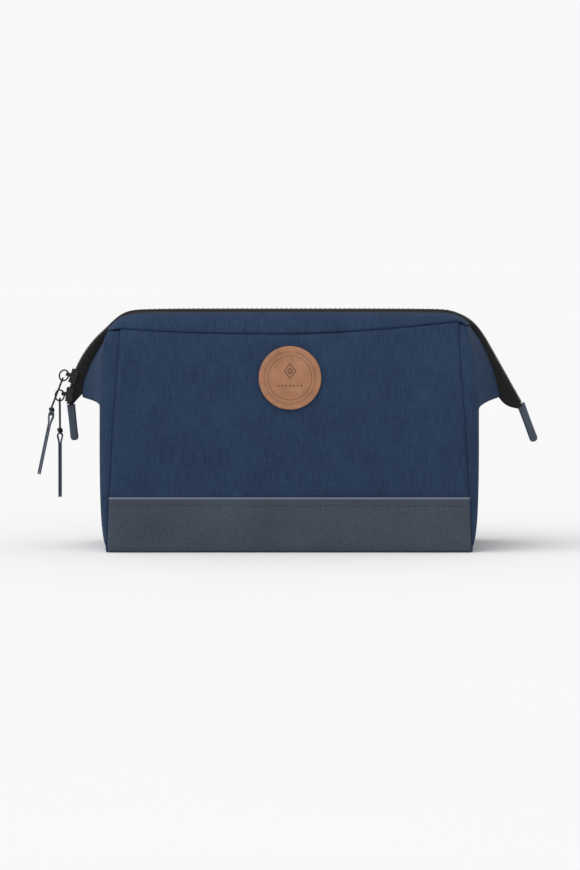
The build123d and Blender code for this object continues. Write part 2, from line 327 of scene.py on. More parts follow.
# %% [markdown]
# ## Finishes of the cloth
# Canvas is a plain weave: each thread goes over one neighbour and under the next. A check pattern
# says which thread is on top, and the sine of the place across that thread gives its round back.
# Larger, softer noise fades the dye a little, as on any piece-dyed cloth.

# %% Canvas, lining and tape
THREAD = 0.52 * MM
TRIM_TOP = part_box("front_trim")[1].z


def weave(finish, pitch):
    """Height of a plain weave: |sin| across whichever thread is on top, from 0 to 1."""
    u, v, _ = finish.axes(finish.add("UVMap", {"uv_map": "cloth"}))
    a, b = (u * (np.pi / pitch)).sine(), (v * (np.pi / pitch)).sine()
    on_top = (a * b).above(0.0)
    return on_top * a.size() + (1 - on_top) * b.size(), u, v


def woven(name, dark, light, pitch, roughness, sheen, relief=0.12, lint=None):
    """Plain-woven cloth between two colours, uneven in the yarn and in the dye."""
    finish = Finish(name)
    height, u, v = weave(finish, pitch)
    place = finish.add("TexCoord", output=3)
    dye = finish.noise(place, 38.0, 4.0)
    along = finish.add("CombineXYZ", X=u * 1900.0, Y=v * 70.0)
    across = finish.add("CombineXYZ", X=u * 90.0, Y=v * 1900.0)
    slub = finish.noise(along, 1.0, 2.0, 0.7) * 0.65 + finish.noise(across, 1.0, 2.0, 0.7) * 0.35
    share = height * 0.2 + dye * 0.4 + slub * 1.7 - 0.68
    colour = finish.mix(share, dark, light)
    if lint:
        specks = finish.noise(place, 2100.0, 1.0).above(0.735) * 0.35
        colour = finish.mix(specks, colour, lint)
    rough = slub * 0.1 + (roughness - 0.05)
    bump = finish.bump(height + slub * 0.5, relief * MM, 0.8)
    surface_values = {"Base_Color": colour, "Roughness": rough, "Normal": bump}
    return finish.done(**surface_values, Sheen_Weight=sheen, Sheen_Roughness=0.45, Specular_IOR_Level=0.08)


NAVY = woven("navy_canvas", rgb(25, 39, 63), rgb(58, 79, 108), THREAD, 0.86, 0.02, lint=rgb(86, 103, 131))
LINING = woven("lining_cloth", rgb(96, 101, 110), rgb(132, 137, 146), 0.35 * MM, 0.8, 0.1)
TAPE = woven("black_tape", rgb(26, 26, 27), rgb(56, 56, 55), 0.42 * MM, 0.78, 0.04)


def coated():
    """Cloth with a soft coating pressed into small pebbles: noise-bent cells, low between them."""
    finish = Finish("coated_cloth")
    place = finish.add("TexCoord", output=3)
    bend = finish.add("TexNoise", output=1, Vector=place, Scale=420.0, Detail=2.0)
    bent = finish.add("VectorMath", {"operation": "MULTIPLY_ADD"}).socket.node
    plug(finish.tree, bent.inputs[0], bend)
    bent.inputs[1].default_value = (0.0012,) * 3
    plug(finish.tree, bent.inputs[2], place)
    bent = Value(finish.tree, bent.outputs[0])
    cells = finish.add("TexVoronoi", {"feature": "SMOOTH_F1"}, Vector=bent, Scale=760.0, Smoothness=0.35)
    height = 1 - cells * 1.3
    worn = finish.noise(place, 30.0, 4.0)
    colour = finish.mix(height * 0.35 + worn * 0.75 - 0.1, rgb(40, 50, 64), rgb(68, 80, 96))
    # painted highlight: the colour turns pale along the top of the trim's folded edge, where the rolled edge
    # faces up into the light
    z = finish.axes(place)[2]
    fold = ((z - (TRIM_TOP + 0.7 * MM)) * 1500.0).largest(0.0)
    colour = finish.mix(fold.smallest(0.7), colour, rgb(116, 127, 142))
    bump = finish.bump(height, 0.22 * MM, 0.9)
    rough = 0.56 - height * 0.14 + worn * 0.08
    return finish.done(Base_Color=colour, Roughness=rough, Normal=bump, Specular_IOR_Level=0.45)


COATED = coated()
print("cloth finishes:", NAVY.name, LINING.name, TAPE.name, COATED.name)

# %% [markdown]
# ## The line of the zip
# The mouth of the bag is one long zip. Its left slope is an arc, about which the sliders turn, and
# its right slope is straight. The tape lies upright along both slopes and flat along the top, so
# every soft piece near the mouth is placed from this one line.

# %% Slopes of the zip
slider_hinge = next(j for j in frame["joints"] if j["name"] == "slider_lower_run")
ARC_X, _, ARC_Z = slider_hinge["pos_m"]
ARC_R = 71.6 * MM
FOOT = np.array([163.0, 98.0]) * MM  # foot of the straight slope: x and z
SLOPE = np.radians(60.7)


def run(side, height, inward):
    """Points (x, z) on a slope: height is that of the outer edge, inward the way in from it."""
    if side == LEFT:
        turn = np.pi - np.arcsin((height - ARC_Z) / ARC_R)
        reach = ARC_R - inward
        return np.stack([ARC_X + reach * np.cos(turn), ARC_Z + reach * np.sin(turn)], -1)
    x = FOOT[0] - (height - FOOT[1]) / np.tan(SLOPE)
    return np.stack([x - inward * np.sin(SLOPE), height - inward * np.cos(SLOPE)], -1)


CROWN = {
    LEFT: [(-119.0, 160.4), (-112.5, 163.5), (-105.5, 164.9), (-95.0, 164.9)],
    RIGHT: [(128.6, 156.0), (122.0, 160.5), (114.5, 163.5), (105.0, 164.9), (95.0, 164.9)],
}
SLOPE_HEIGHTS = np.array([98.4, 102, 107, 113, 120, 127, 134, 141, 147, 152.0]) * MM


def mouth_line():
    """The zip's outer edge (x, z) from the left end over the top to the right end."""
    left = np.vstack([run(LEFT, SLOPE_HEIGHTS, 0.0), MM * np.array(CROWN[LEFT])])
    right = np.vstack([run(RIGHT, SLOPE_HEIGHTS[:-1], 0.0), MM * np.array(CROWN[RIGHT])])
    return np.vstack([left, right[::-1]])


print("zip line has", len(mouth_line()), "points, top at", round(mouth_line()[:, 1].max(), 4))

# %% [markdown]
# ## Front and rear panels
# A panel stands upright on the base and leans back as it rises to the mouth. Its side profile is one
# curve, and its height at each side follows the band's seam. The edges are turned in, because a sewn
# seam is a valley: that valley is the dark line round the panel.

# %% Shape of the panels
PROFILE = MM * np.array(
    [(-52.8, 0.3), (-54.4, 0.8), (-55.0, 3), (-55.1, 10), (-55.2, 24), (-55.4, 40), (-55.7, 56)]
    + [(-55.5, 72), (-54.9, 88), (-53.6, 101), (-51.4, 114), (-48.6, 126), (-45.4, 137)]
    + [(-42.2, 146), (-39.6, 152.5), (-36.6, 158.5), (-33, 164)]
)
profile_line = curve(PROFILE, 400)
SEAM_WIDTH = MM * np.array([(0, 125.4), (36, 124.2), (86, 121.4), (114, 119.3), (150, 116.8)])
SEAM_MIDDLE = 149.9 * MM  # height of the band's seam at the middle
SEAM_RISE = {LEFT: (3.8 * MM, 2.4), RIGHT: (8.6 * MM, 1.6)}  # rise at the corner, and its power


def front_y(z):
    """How far out the front panel stands at a height."""
    return np.interp(z, profile_line[:, 1], profile_line[:, 0])


def seam_x(z):
    """Half the panel's width at a height."""
    return np.interp(z, SEAM_WIDTH[:, 0], SEAM_WIDTH[:, 1])


def seam_z(share):
    """Height of the band's seam at a share of the half width, from -1 to 1."""
    (left, left_power), (right, right_power) = SEAM_RISE[LEFT], SEAM_RISE[RIGHT]
    low, high = np.clip(-share, 0, 1), np.clip(share, 0, 1)
    return SEAM_MIDDLE + left * low**left_power + right * high**right_power


def toward_edges(count, power=1.7):
    """Numbers from -1 to 1 that crowd together near both ends."""
    t = np.linspace(-1, 1, count)
    return np.sign(t) * (1 - (1 - np.abs(t)) ** power)


def tucked(distance, depth, width):
    """How far cloth dips beside a seam: depth * exp(-distance / width)."""
    return depth * np.exp(-distance / width)


def panel_grid(bottom, rows, columns, turned=1.9 * MM):
    """Panel between a height and the band's seam, its edges turned in by some depth."""
    share = toward_edges(columns)[None, :]
    rise = (toward_edges(rows) * 0.5 + 0.5)[:, None]
    z = bottom + rise * (seam_z(share) - bottom)
    half = seam_x(z)
    x = share * half
    side_gap = half - np.abs(x)
    top_gap = (1 - rise) * (seam_z(share) - bottom)
    y = front_y(z) + tucked(side_gap, turned, 1.0 * MM) + tucked(top_gap, turned, 1.0 * MM)
    # cloth held by a seam puckers gently beside it
    pucker = 0.16 * np.sin(z * 2 * np.pi / 0.0078 + 2 * np.sin(z * 190)) * np.exp(-side_gap / 0.007)
    pucker = pucker + 0.14 * np.sin(x * 2 * np.pi / 0.0094 + 2 * np.sin(x * 130)) * np.exp(-top_gap / 0.006)
    drift = 0.5 * np.sin(x * 21 + z * 9 + 0.6) * np.sin(z * 38 + x * 7) + 0.25 * np.sin(x * 60 - z * 33)
    calm = np.minimum(side_gap, top_gap) / (np.minimum(side_gap, top_gap) + 0.012)
    y = y + MM * (pucker + drift * calm)
    return np.stack(np.broadcast_arrays(x, y, z), -1)


def to_side(grid, face):
    """The rear twin of a front shape."""
    return grid * np.array([1.0, -face, 1.0])


print("seam heights at left, middle and right:", seam_z(np.array([-1.0, 0, 1])).round(4))

# %% [markdown]
# A foam-backed panel isn't flat: the cloth is pulled tight at its seams and the foam pushes it out a
# little between them. A short cloth simulation gives that crown. Its border is pinned, the foam is a
# light pressure, and no point may move more than its limit.

# %% Simulate a panel
CROWN_LIMIT = 1.6 * MM
SIM_FRAMES = 14
PINNED_ROWS = 3


def relax(grid):
    """The grid after its cloth has settled: pinned border, light outward pressure, capped travel."""
    rows, columns = grid.shape[:2]
    piece = build("relaxing", grid.reshape(-1, 3), quads(rows, columns))
    from_edges = [np.minimum(np.arange(n), np.arange(n)[::-1]) for n in (rows, columns)]
    inner = np.minimum.outer(*from_edges)
    pins = piece.vertex_groups.new(name="pins")
    pins.add(np.flatnonzero(inner.ravel() < PINNED_ROWS).tolist(), 1.0, "REPLACE")
    sim = piece.modifiers.new("cloth", "CLOTH")
    sim.settings.quality = 6
    sim.settings.mass = 0.3
    sim.settings.tension_stiffness = 25
    sim.settings.compression_stiffness = 25
    sim.settings.bending_stiffness = 6
    sim.settings.use_pressure = True
    sim.settings.uniform_pressure_force = 1.5
    sim.settings.effector_weights.gravity = 0
    sim.settings.vertex_group_mass = "pins"
    scene = bpy.context.scene
    for number in range(1, SIM_FRAMES + 1):
        scene.frame_set(number)
    settled = piece.evaluated_get(bpy.context.evaluated_depsgraph_get()).to_mesh()
    moved = np.zeros(rows * columns * 3)
    settled.vertices.foreach_get("co", moved)
    scene.frame_set(1)
    bpy.data.objects.remove(piece)
    shift = moved.reshape(grid.shape) - grid
    travel = np.linalg.norm(shift, axis=-1, keepdims=True)
    share = np.minimum(1, CROWN_LIMIT / np.maximum(travel, 1e-9))
    print("cloth moved by up to", round(travel.max() / MM, 2), "mm before its cap")
    return grid + shift * share


print("simulation helper ready")

# %% [markdown]
# Both panels are made the same way, and so are the foam sheets behind them.

# %% Panels and foam
FACES = {FRONT: "front", BACK: "rear"}
CLOTH_T = 1.1 * MM


def fold_with(piece):
    """Cloth that crosses a hoop's hinge: its place is baked into its mesh, and it is not tied to the hoop's
    frame, so it stays still.
    """
    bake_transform(piece)


def paint(piece, material):
    piece.data.materials.clear()
    piece.data.materials.append(material)


panels = {}
for face, word in FACES.items():
    grid = panel_grid(TRIM_TOP - 6 * MM, 110, 190)
    grid = to_side(grid, face)
    grid = relax(grid)
    panels[face] = grid
    panel = cloth(f"{word}_panel_cloth", grid, (0, face, 0), CLOTH_T)
    paint(panel, NAVY)
    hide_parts(f"{word}_panel", f"{word}_panel_upper")
    fold_with(panel)
    print(panel.name, "has", len(panel.data.polygons), "faces")

foam_low, foam_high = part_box("front_foam")
for face, word in FACES.items():
    share, rise = toward_edges(30)[None, :], np.linspace(0, 1, 20)[:, None]
    z = foam_low.z + rise * (foam_high.z - foam_low.z)
    x = share * foam_high.x + 0 * z
    # a foam sheet swells between its stitched edges: 0.3 mm * (1 - x^4)(1 - z^4)
    swell = 0.3 * MM * (1 - share**4) * (1 - (2 * rise - 1) ** 4)
    grid = np.stack([x, foam_low.y - swell + 0.15 * MM + 0 * z, z + 0 * x], -1)
    foam = cloth(f"{word}_foam_sheet", to_side(grid, face), (0, face, 0), 1.3 * MM)
    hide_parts(f"{word}_foam")
    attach(foam, "bag")

# %% [markdown]
# ## Coated trim round the foot
# The foot of the front is covered by a strip of coated cloth. Its top edge is folded over, so it is
# round and catches the light, and a row of stitches holds it a few millimetres below.

# %% Trim
STITCH_DROP = 3.8 * MM  # the row of stitches is this far under the fold
TRIM_SIDE = MM * np.array(
    [(-52.9, 0.2), (-54.2, 0.35), (-55.4, 1.4), (-55.9, 5), (-56.0, 14), (-56.1, 26), (-56.2, 34)]
    + [(-56.5, 36.6), (-56.5, 38.0), (-55.7, 38.5), (-55.0, 37.8), (-54.9, 35.8)]
)
trim_side = curve(TRIM_SIDE, 150)


def trim_grid(columns=200):
    """Trim cloth: the side profile carried from seam to seam, dipping along its row of stitches."""
    share = toward_edges(columns)[None, :]
    y, z = trim_side[:, 0][:, None], trim_side[:, 1][:, None]
    half = seam_x(z) + 0.1 * MM
    x = share * half
    groove = 0.35 * MM * np.exp(-(((z - TRIM_TOP + STITCH_DROP) / (0.9 * MM)) ** 2))
    groove = groove * (y < -55.0 * MM)
    drift = 0.18 * MM * np.sin(x * 47 + z * 60) * np.sin(z * 120 + x * 11)
    y = y + groove + drift * (z < TRIM_TOP) + tucked(half - np.abs(x), 1.7 * MM, 0.8 * MM)
    return np.stack(np.broadcast_arrays(x, y, z), -1)


trims = {}
for face, word in FACES.items():
    trims[face] = to_side(trim_grid(), face)
    trim = cloth(f"{word}_trim_cloth", trims[face], (0, face, 0), 0.8 * MM)
    paint(trim, COATED)
    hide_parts(f"{word}_trim")
    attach(trim, "bag")
    print(trim.name, "stands", round(-face * trim_side[:, 0].min() / MM, 1), "mm out")

# %% [markdown]
# ## Band round the mouth
# Above the panel, a band of canvas is wrapped over the wire hoop and sewn to the zip's tape. The hoop
# inside makes its top a soft roll. The band is a net of profiles: one at the middle, lower and lower
# ones towards the corners, and a last one where it meets the folded ears.

# %% Band
ROLL = {  # profile above the seam (y, z) at a distance from the middle, for the lower (left) corner
    0: [(-29.5, 163.2), (-24, 164.2), (-19.5, 162.9), (-16.5, 162.0), (-13.4, 162.2)],
    92: [(-29.5, 163.0), (-24, 164.0), (-19.5, 162.8), (-16.5, 162.0), (-13.0, 162.2)],
    104: [(-29.5, 162.6), (-24, 163.4), (-19, 162.6), (-15, 162.2), (-10.6, 162.6)],
    112: [(-30, 161.8), (-24, 162.6), (-18, 162.3), (-12, 161.9), (-6.5, 161.8)],
    119: [(-29.5, 158.9), (-23, 159.8), (-16, 159.4), (-10, 158.7), (-4.2, 158.5)],
}
CORNER_LIFT = {LEFT: {104: 0, 112: 0, 119: 0}, RIGHT: {104: 0.3, 112: 0.6, 119: 1.3}}
EAR_TOP = {  # the band's end, from the corner column back to the zip: (x, y, z)
    LEFT: [(-124.4, -37.6, 152.4), (-125.0, -29, 152.9), (-124.9, -20, 153.0)]
    + [(-124.0, -11, 152.6), (-121.6, -3.4, 152.2)],
    RIGHT: [(121.7, -36.6, 155.8), (123.4, -29, 156.2), (124.8, -20, 155.9)]
    + [(125.4, -11, 155.0), (125.2, -3.4, 153.4)],
}


def station(x, share, rolls):
    """One profile of the band: its seam, a bulging rise and the roll over the hoop."""
    z0 = seam_z(np.array(share)).item() / MM
    y0 = front_y(z0 * MM).item() / MM
    seam = [(y0 + 1.2, z0 - 0.3), (y0 - 0.3, z0 + 0.5)]
    (ya, za), (yb, zb) = seam[1], rolls[0]
    rise = [(ya + t * (yb - ya) - 0.9, za + t * (zb - za) + 0.8) for t in (0.3, 0.65)]
    return [(x, y, z) for y, z in seam + rise + list(rolls)]


def end_station(side):
    """The band's last profile lies along the top of the ear."""
    top = np.array(EAR_TOP[side])
    first = top[0] + np.array([0, 0.9, -0.5])
    near = np.array([top[0] + t * (top[1] - top[0]) for t in (0.15, 0.45, 0.8)])
    rest = np.array([top[1] + t * (top[2] - top[1]) for t in (0.25, 1.0)])
    return np.vstack([[first], near, rest, [top[3]], [(top[3] + top[4]) / 2], [top[4]]])


def band_grid(rows=70, columns=230):
    net = [end_station(LEFT)]
    for side in (LEFT, RIGHT):
        places = [119, 112, 104, 92, 60, 20]
        for place in places if side == LEFT else places[::-1]:
            lift = CORNER_LIFT[side].get(place, 0)
            rolls = [(y, z + lift) for y, z in ROLL[place if place in ROLL else 0]]
            net.append(station(side * place, side * min(place / 116.8, 1.0), rolls))
    net.append(end_station(RIGHT))
    net = MM * np.array(net).transpose(1, 0, 2)
    grid = surface(net, rows, columns)
    # gathers: the cloth is eased round the hoop, so faint ripples run up from its seam
    x, z = grid[..., 0], grid[..., 2]
    ripple = 0.16 * MM * np.sin(x * 2 * np.pi / 0.0105 + 2.2 * np.sin(x * 95))
    fade = np.exp(-((z - seam_z(np.clip(x / 0.1168, -1, 1))) / 0.006) ** 2)
    grid[..., 1] -= ripple * fade
    return grid


bands = {}
for face, word in FACES.items():
    bands[face] = to_side(band_grid(), face)
    band = cloth(f"{word}_band_cloth", bands[face], (0, face, 0.4), CLOTH_T)
    paint(band, NAVY)
    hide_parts(f"{word}_band")
    fold_with(band)
    print(band.name, "top", round(bands[face][..., 2].max(), 4))

# %% [markdown]
# ## Sides that fold into ears
# Each side is one piece of canvas from the front seam, round the corner, to the middle of the side.
# Below it is a flat wall. Above, it follows the zip instead: it folds out over the wall into an ear.
# One net holds both, with its rows going up and its columns going back from the seam.

# %% Sides
WALL = MM * np.array(  # height, and how far out the wall stands there
    [(0.2, 122.6), (1.2, 125.6), (5, 127.6), (14, 129.2), (28, 130.2), (60, 130.7), (110, 130.6)]
)
COLUMN = {  # outer corner of the side above the wall: (x, y, z)
    LEFT: [(130.6, -48, 104.8), (130.6, -46, 120), (130.4, -43, 134), (128.8, -39.5, 146)],
    RIGHT: [(131.0, -48, 101.8), (129.6, -46, 118), (127.6, -43, 134), (125.2, -39.5, 147)],
}
TAPE_SHOWS = {  # the tape's bare width beside the ear: height of the outer edge, width
    LEFT: [(108.6, 9.6), (116, 8.4), (126, 8.8), (136, 8.0), (146, 6.2), (153.5, 4.6)],
    RIGHT: [(112.6, 11.0), (120, 8.0), (128, 6.0), (136, 5.0), (145, 4.2), (155, 3.2)],
}
LEVELS = {  # heights of the ear's rows at the zip
    LEFT: MM * np.array([106.9, 115, 126, 137, 147]),
    RIGHT: MM * np.array([110.8, 118, 127, 137, 147]),
}


def zip_edge(side, heights):
    """Where the ear's cloth is sewn to the tape, just in front of it."""
    table = MM * np.array(TAPE_SHOWS[side])
    flat = run(side, heights, np.interp(heights, table[:, 0], table[:, 1]))
    return np.stack([flat[..., 0], np.full(np.shape(heights), -2.9 * MM), flat[..., 1]], -1)


def wall_row(side, z, back=0.0):
    """Seam, corner and wall at one height."""
    half = np.interp(z, WALL[:, 0], WALL[:, 1])
    face_y, seam = front_y(z).item(), seam_x(z).item()
    xs = np.array([seam] * 2 + [half] * 5) + MM * np.array([-0.3, 0.7, -2.4, 0.2, 0, 0, 0])
    ys = np.array([face_y] * 4 + [0] * 3) + MM * np.array([1.7, 0.1, 0.8, 6.5, -38, -20, 0])
    return np.stack([side * xs, ys + back, np.full(7, z)], -1)


def ear_row(side, corner, front_z, edge, pinch=0.8 * MM):
    """Seam, corner column and the ear's cloth back to the zip, pulled in a little at its middle."""
    seam, face_y = seam_x(front_z).item(), front_y(front_z).item()
    first = np.array([side * (seam - 0.3 * MM), face_y + 1.7 * MM, front_z])
    second = np.array([side * (seam + 0.7 * MM), face_y + 0.1 * MM, front_z])
    third = np.array([corner[0] - side * 2.6 * MM, face_y + 1.3 * MM, front_z])
    inner = [corner + t * (edge - corner) + np.array([-side * pinch, 0, 0]) for t in (0.33, 0.68)]
    return np.vstack([first, second, third, corner, *inner, edge])


def side_net(side):
    heights = MM * np.array([1.1, 1.4, 4.0, 12, 30, 60, 84, 97])
    rows = [wall_row(side, z, back=1.2 * MM * (z < 1.2 * MM)) for z in heights]
    corners = MM * np.array(COLUMN[side]) * np.array([side, 1, 1])
    edges = zip_edge(side, LEVELS[side])
    fold = ear_row(side, corners[0], corners[0][2], edges[0] - np.array([side * 0.6, 0, 1.8]) * MM)
    # the fold is crisp because three rows of the net lie close together along it
    for share, drop in ((0.0, 2.6), (0.55, 1.3)):
        shelf = wall_row(side, fold[0, 2] - drop * MM)
        shelf[4:] = shelf[4:] + share * (fold[4:] - shelf[4:])
        shelf[4:, 2] = fold[4:, 2] - drop * 1.5 * MM
        shelf[6, 1] = -0.3 * MM
        rows.append(shelf)
    rows += [fold, fold + np.array([0, 0, 0.4]) * MM]
    for level, edge in enumerate(edges):
        t = level / (len(edges) - 1)
        line = curve(corners, 50)
        corner = line[int(round((0.03 + 0.97 * t) * 49))]
        rows.append(ear_row(side, corner, corner[2], edge))
    top = MM * np.array(EAR_TOP[side])
    seam = np.array([side * 116.7 * MM, front_y(seam_z(np.array(float(side)))).item() + 1.7 * MM, 0])
    seam[2] = seam_z(np.array(float(side))).item() - 0.4 * MM
    mid = (seam + top[0]) / 2 + np.array([0, 0, 0.1 * MM])
    drop = np.array([0, 0.4, -0.9]) * MM
    near, far = top[0] * 0.7 + mid * 0.3, top[1] * 0.5 + top[2] * 0.5
    rows.append(np.vstack([seam, mid, near, top[0], far, top[3], top[4]]) + drop)
    return np.array(rows)


sides = {}
for side, word in ((LEFT, "left"), (RIGHT, "right")):
    grid = surface(side_net(side), 170, 90)
    for face, twin in FACES.items():
        half = to_side(grid, face)
        sides[side, face] = half
        ear = cloth(f"{word}_side_{twin}", half, (side, 0, 0), 0.9 * MM)
        paint(ear, NAVY)
        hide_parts(f"{word}_gusset", f"{word}_ear_{twin}")
        fold_with(ear)
    print(word, "side reaches x =", round(np.abs(grid[..., 0]).max(), 4))

# %% [markdown]
# The base is a panel of the same coated cloth as the trim, with round corners. A square grid gets
# them by pulling each point that lies past the corner's centre back onto the corner's circle.

# %% Base
BASE_R = 7 * MM
LINING_T = 0.35 * MM


def base_grid(half_x, half_y, bottom, count=60):
    """A rectangle with round corners, its edge raised a little."""
    a, b = np.meshgrid(np.linspace(-half_x, half_x, 2 * count), np.linspace(-half_y, half_y, count))
    core_x, core_y = half_x - BASE_R, half_y - BASE_R
    core = np.stack([np.clip(a, -core_x, core_x), np.clip(b, -core_y, core_y)], -1)
    off = np.stack([a, b], -1) - core
    far = np.maximum(np.abs(off).max(-1, keepdims=True), 1e-9)
    off = off * far / np.maximum(np.linalg.norm(off, axis=-1, keepdims=True), 1e-9)
    edge = 1 - np.abs(core + off) / np.array([half_x, half_y])
    z = bottom + 0.9 * MM * np.exp(-edge.min(-1) * 60)
    return np.concatenate([core + off, z[..., None]], -1)


base = cloth("base_cloth", base_grid(124.9 * MM, 53.4 * MM, 0.15 * MM), (0, 0, -1), 0.9 * MM)
paint(base, COATED)
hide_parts("base_panel")
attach(base, "bag")
lining_base = cloth("base_lining_cloth", base_grid(124.0 * MM, 50.5 * MM, 4.4 * MM), (0, 0, 1), LINING_T)
paint(lining_base, LINING)
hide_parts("lining_base")
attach(lining_base, "bag")
print("base and its lining have", len(base.data.polygons), "faces each")

# %% [markdown]
# ## Lining
# The lining hangs just inside the cloth and under the hoop. It shows when the mouth is open.

# %% Lining sheets
LINING_SIDE = MM * np.array(
    [(-50.5, 5), (-51.4, 8), (-51.6, 24), (-51.9, 60), (-51.2, 88), (-49.6, 102), (-45.5, 122), (-39.5, 142)]
    + [(-34, 151), (-28, 154.6), (-20, 155.6), (-15, 158.5), (-13.4, 160.8), (-11.5, 161.2)]
)
lining_side = curve(LINING_SIDE, 90)
for face, word in FACES.items():
    z = lining_side[:, 1][:, None]
    half = np.interp(z, MM * np.array([0, 100, 140, 156, 161]), MM * np.array([124, 121, 117, 108, 99]))
    share = toward_edges(60)[None, :]
    wave = 0.5 * MM * np.sin(share * 23 + z * 60) * np.sin(z * 75)
    y = lining_side[:, 0][:, None] + wave * (z < 0.15)
    grid = np.stack(np.broadcast_arrays(share * half, y, z), -1)
    lining = cloth(f"{word}_lining_cloth", to_side(grid, face), (0, face, 0), LINING_T)
    paint(lining, LINING)
    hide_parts(f"{word}_lining")
    fold_with(lining)

for (side, face), half in sides.items():
    word = "left" if side == LEFT else "right"
    # every second point of the side's own grid, moved in and kept on its own half of the bag
    inner = (half - facing(half, (side, 0, 0)) * 1.9 * MM)[24:-6:2, 4:-1:2]
    inner[..., 1] = face * np.maximum(face * inner[..., 1], 0.02 * MM)
    lining = cloth(f"{word}_side_lining_{FACES[face]}", inner, (side, 0, 0), LINING_T)
    paint(lining, LINING)
    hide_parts(f"{word}_lining")
    fold_with(lining)
print("lining pieces: 6")

# %% [markdown]
# ## Zip
# Each half of the zip is a tape, a strip with a ribbed weave that turns from upright to flat at the
# corners, and a coil of nylon whose turns lock into the other half's. The coil is one small ring of
# wire, repeated along the zip's line. Each ring has only a few dozen faces.

# %% Tapes
TAPE_END = {
    LEFT: [(98.4, 3.4), (102, 6.0), (107, 9.6), (113, 12)],
    RIGHT: [(98.4, 5.0), (102, 10.5), (107, 12.5), (113, 13)],
}
TAPE_CROWN = {  # inner edge of the tape at the crown's points, (x, y, z), and then flat along the top
    LEFT: [(-112.5, -6, 153.5), (-107, -9, 158.2), (-101, -12.6, 161.2), (-92, -14.2, 161.6)],
    RIGHT: [(117.8, -4, 151.0), (114.0, -7, 155.8), (107.5, -10, 160.0)]
    + [(101, -12.8, 161.4), (92, -14.2, 161.6)],
}


def across(outer, inner, upright):
    """Five points from under the coil to the tape's inner edge. upright is 1 on a slope, 0 on top."""
    out = np.array([outer[0], 0.0, outer[1]])
    under = inner - out
    under = under * np.array([1, 0, 1])
    down = under / np.linalg.norm(under) if upright else np.array([0, 0, -1.0])
    first = out + down * 1.5 * MM + np.array([0, -0.6, 0]) * MM
    second = out + down * 1.5 * MM + np.array([0, -2.6, 0]) * MM
    third = out + down * (2.8 if upright else 1.7) * MM + np.array([0, -3.2 if upright else -5.0, 0]) * MM
    fourth = third + 0.5 * (inner - third)
    return [first, second, third, fourth, inner]


def tape_side(side):
    widths = MM * np.array(TAPE_END[side])
    rows = []
    for height in SLOPE_HEIGHTS:
        inward = np.interp(height, widths[:, 0], widths[:, 1])
        outer, inner = run(side, height, 0.0), run(side, height, inward)
        rows.append(across(outer, np.array([inner[0], -1.3 * MM, inner[1]]), 1))
    for outer, inner in zip(CROWN[side], TAPE_CROWN[side]):
        rows.append(across(MM * np.array(outer), MM * np.array(inner), 0))
    return rows


tape_net = np.array(tape_side(LEFT) + tape_side(RIGHT)[::-1])
tape_grid = surface(tape_net, 420, 24)
for face, word in FACES.items():
    tape = cloth(f"{word}_tape", to_side(tape_grid, face), (0, face, 0.5), 0.6 * MM)
    tape.modifiers["thickness"].offset = 0
    paint(tape, TAPE)
    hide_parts(f"{word}_zip_tape", "zip_end_left", "zip_end_right")
    fold_with(tape)
print("tape runs", round(lengths(tape_grid, 0)[-1, 0], 3), "m")

# %% Coils
PITCH = 1.3 * MM
WIRE = 0.3 * MM


def ring_tube(around, ring_points, wire, sides=5):
    """A closed tube: ring_points (n x 3) with a round section of some sides."""
    tangent = unit(np.roll(ring_points, -1, 0) - np.roll(ring_points, 1, 0))
    first = unit(np.cross(tangent, around))
    second = np.cross(first, tangent)
    turn = np.linspace(0, 2 * np.pi, sides, endpoint=False)[None, :, None]
    points = ring_points[:, None] + wire * (np.cos(turn) * first[:, None] + np.sin(turn) * second[:, None])
    return points.reshape(-1, 3), quads(len(ring_points), sides, True, True)


turn = np.linspace(0, 2 * np.pi, 9, endpoint=False)
lean = PITCH * 0.28 * np.sin(turn)
loop = np.stack([1.5 * MM + 1.2 * MM * np.cos(turn), -0.95 * MM + 0.62 * MM * np.sin(turn), lean], -1)
turn_points, turn_faces = ring_tube((0.0, 0.0, 1.0), loop, WIRE)
mouth = curve(mouth_line(), 1200)
travelled = np.concatenate([[0], np.cumsum(np.linalg.norm(np.diff(mouth, axis=0), axis=1))])
for face, word in FACES.items():
    stops = np.arange(2.6 * MM + (face == BACK) * PITCH / 2, travelled[-1] - 2.6 * MM, PITCH)
    middle = np.stack([np.interp(stops, travelled, mouth[:, k]) for k in (0, 1)], -1)
    ahead = np.stack([np.interp(stops + 0.5 * MM, travelled, mouth[:, k]) for k in (0, 1)], -1)
    along = unit(ahead - middle)
    zero = np.zeros(len(stops))
    along = np.stack([along[:, 0], zero, along[:, 1]], -1)
    outward = np.stack([-along[:, 2], zero, along[:, 0]], -1)
    aside = np.tile([0.0, float(face), 0.0], (len(stops), 1))
    places = np.stack([middle[:, 0], zero, middle[:, 1]], -1)
    frames = np.stack([aside, outward, along], 1)
    outward_faces = turn_faces if face == FRONT else turn_faces[:, ::-1]
    coil = scatter(f"{word}_coil", turn_points, outward_faces, places, frames)
    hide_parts(f"{word}_zip_coil", "zip_end_coil_left", "zip_end_coil_right")
    fold_with(coil)
    print(coil.name, "has", len(stops), "turns")

# %% [markdown]
# ## Hard finishes
# The coil is smooth nylon, the sliders are zinc with a black plating, and the hoops are steel wire with
# a dark coat. Leather is mottled and darker where it is stamped, and its stamp comes from an attribute
# on the badge's own points.


